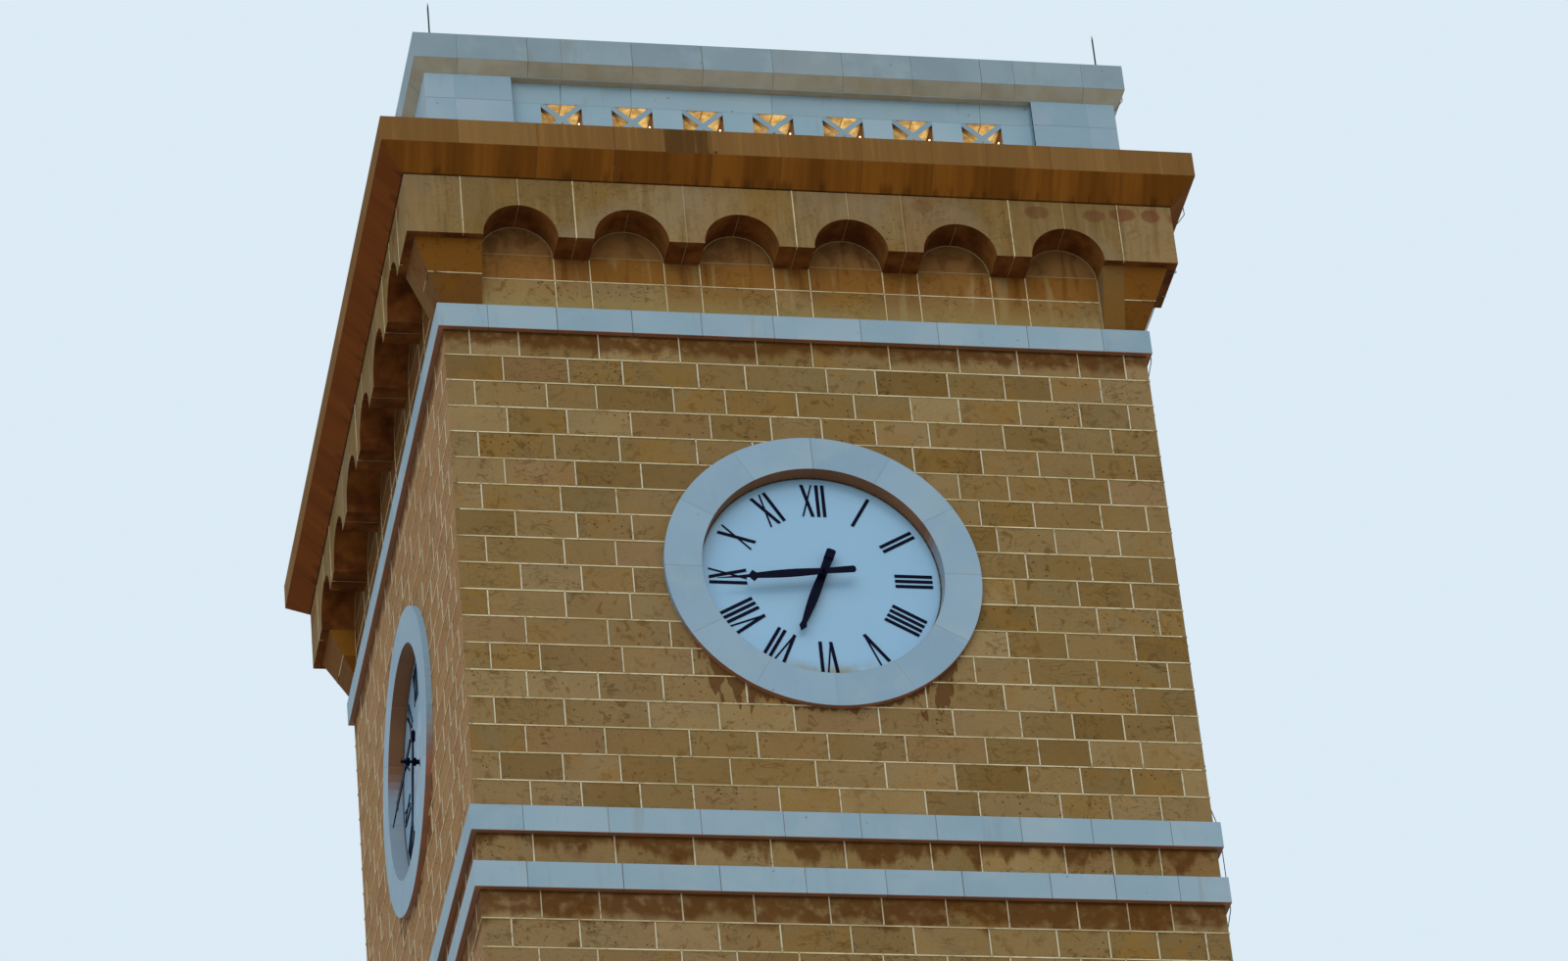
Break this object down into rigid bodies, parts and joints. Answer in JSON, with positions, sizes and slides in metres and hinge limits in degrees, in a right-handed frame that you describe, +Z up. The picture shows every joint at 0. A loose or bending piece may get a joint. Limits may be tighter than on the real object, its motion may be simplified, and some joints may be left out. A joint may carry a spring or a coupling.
{
  "type": "clock tower",
  "caption": "Square stone clock tower with a dial and hands on each face, white bands, an arched frieze, a cornice and a pierced parapet.",
  "frame": {"origin": "centre of the tower's foot on the ground, at the base mount", "axes": "+Z up, -Y out of the front face that has the doorway, +X to the right seen from the front"},
  "size_m": [7.0629, 7.02, 36.269],
  "materials": {
    "sandstone": "rough ashlar with pale joints",
    "white_limestone": "smooth dressed stone",
    "stained_limestone": "smooth stone, streaked by weather",
    "paving_stone": "worn paving",
    "opal_glass": "opal white",
    "black_paint": "satin black paint",
    "weathered_steel": "dull weathered metal"
  },
  "bodies": {
    "tower": {"floor_slab": "paving_stone", "plinth": "white_limestone", "ground_walls": "sandstone", "door_wall": "sandstone", "door_surround": "white_limestone", "band_1": "white_limestone", "storey_2_walls": "sandstone", "band_2": "white_limestone", "storey_3_walls": "sandstone", "band_3": "white_limestone", "storey_4_walls": "sandstone", "band_4": "white_limestone", "storey_5_walls": "sandstone", "band_5": "white_limestone", "band_course": "sandstone", "band_6": "white_limestone", "clock_wall_front": "sandstone", "clock_wall_right": "sandstone", "clock_wall_back": "sandstone", "clock_wall_left": "sandstone", "dial_ring_front": "white_limestone", "dial_ring_right": "white_limestone", "dial_ring_back": "white_limestone", "dial_ring_left": "white_limestone", "dial_front": "opal_glass", "dial_right": "opal_glass", "dial_back": "opal_glass", "dial_left": "opal_glass", "numerals": "black_paint", "band_7": "white_limestone", "niche_walls": "sandstone", "corner_brackets": "sandstone", "frieze_front": "sandstone", "frieze_right": "sandstone", "frieze_back": "sandstone", "frieze_left": "sandstone", "cornice": "stained_limestone", "roof_deck": "paving_stone", "corner_piers": "white_limestone", "parapet_front": "white_limestone", "parapet_right": "white_limestone", "parapet_back": "white_limestone", "parapet_left": "white_limestone", "coping": "white_limestone", "lightning_rods": "weathered_steel", "lightning_conductor": "weathered_steel"},
    "minute_hand_front": {"minute_hand_front": "black_paint"},
    "hour_hand_front": {"hour_hand_front": "black_paint"},
    "minute_hand_right": {"minute_hand_right": "black_paint"},
    "hour_hand_right": {"hour_hand_right": "black_paint"},
    "minute_hand_back": {"minute_hand_back": "black_paint"},
    "hour_hand_back": {"hour_hand_back": "black_paint"},
    "minute_hand_left": {"minute_hand_left": "black_paint"},
    "hour_hand_left": {"hour_hand_left": "black_paint"}
  },
  "joints": [
    {"name": "front_minute_turn", "type": "hinge", "parent": "tower", "child": "minute_hand_front", "pos_m": [0, -2.99, 30.395], "axis": [0, 1, 0], "continuous": true},
    {"name": "front_hour_turn", "type": "hinge", "parent": "tower", "child": "hour_hand_front", "pos_m": [0, -2.99, 30.395], "axis": [0, 1, 0], "continuous": true},
    {"name": "right_minute_turn", "type": "hinge", "parent": "tower", "child": "minute_hand_right", "pos_m": [2.99, 0, 30.395], "axis": [-1, 0, 0], "continuous": true},
    {"name": "right_hour_turn", "type": "hinge", "parent": "tower", "child": "hour_hand_right", "pos_m": [2.99, 0, 30.395], "axis": [-1, 0, 0], "continuous": true},
    {"name": "back_minute_turn", "type": "hinge", "parent": "tower", "child": "minute_hand_back", "pos_m": [0, 2.99, 30.395], "axis": [0, -1, 0], "continuous": true},
    {"name": "back_hour_turn", "type": "hinge", "parent": "tower", "child": "hour_hand_back", "pos_m": [0, 2.99, 30.395], "axis": [0, -1, 0], "continuous": true},
    {"name": "left_minute_turn", "type": "hinge", "parent": "tower", "child": "minute_hand_left", "pos_m": [-2.99, 0, 30.395], "axis": [1, 0, 0], "continuous": true},
    {"name": "left_hour_turn", "type": "hinge", "parent": "tower", "child": "hour_hand_left", "pos_m": [-2.99, 0, 30.395], "axis": [1, 0, 0], "continuous": true}
  ],
  "couplings": [
    {"joint": "front_hour_turn", "follows": "front_minute_turn", "ratio": 0.083333},
    {"joint": "right_minute_turn", "follows": "front_minute_turn", "ratio": 1},
    {"joint": "right_hour_turn", "follows": "front_minute_turn", "ratio": 0.083333},
    {"joint": "back_minute_turn", "follows": "front_minute_turn", "ratio": 1},
    {"joint": "back_hour_turn", "follows": "front_minute_turn", "ratio": 0.083333},
    {"joint": "left_minute_turn", "follows": "front_minute_turn", "ratio": 1},
    {"joint": "left_hour_turn", "follows": "front_minute_turn", "ratio": 0.083333}
  ]
}
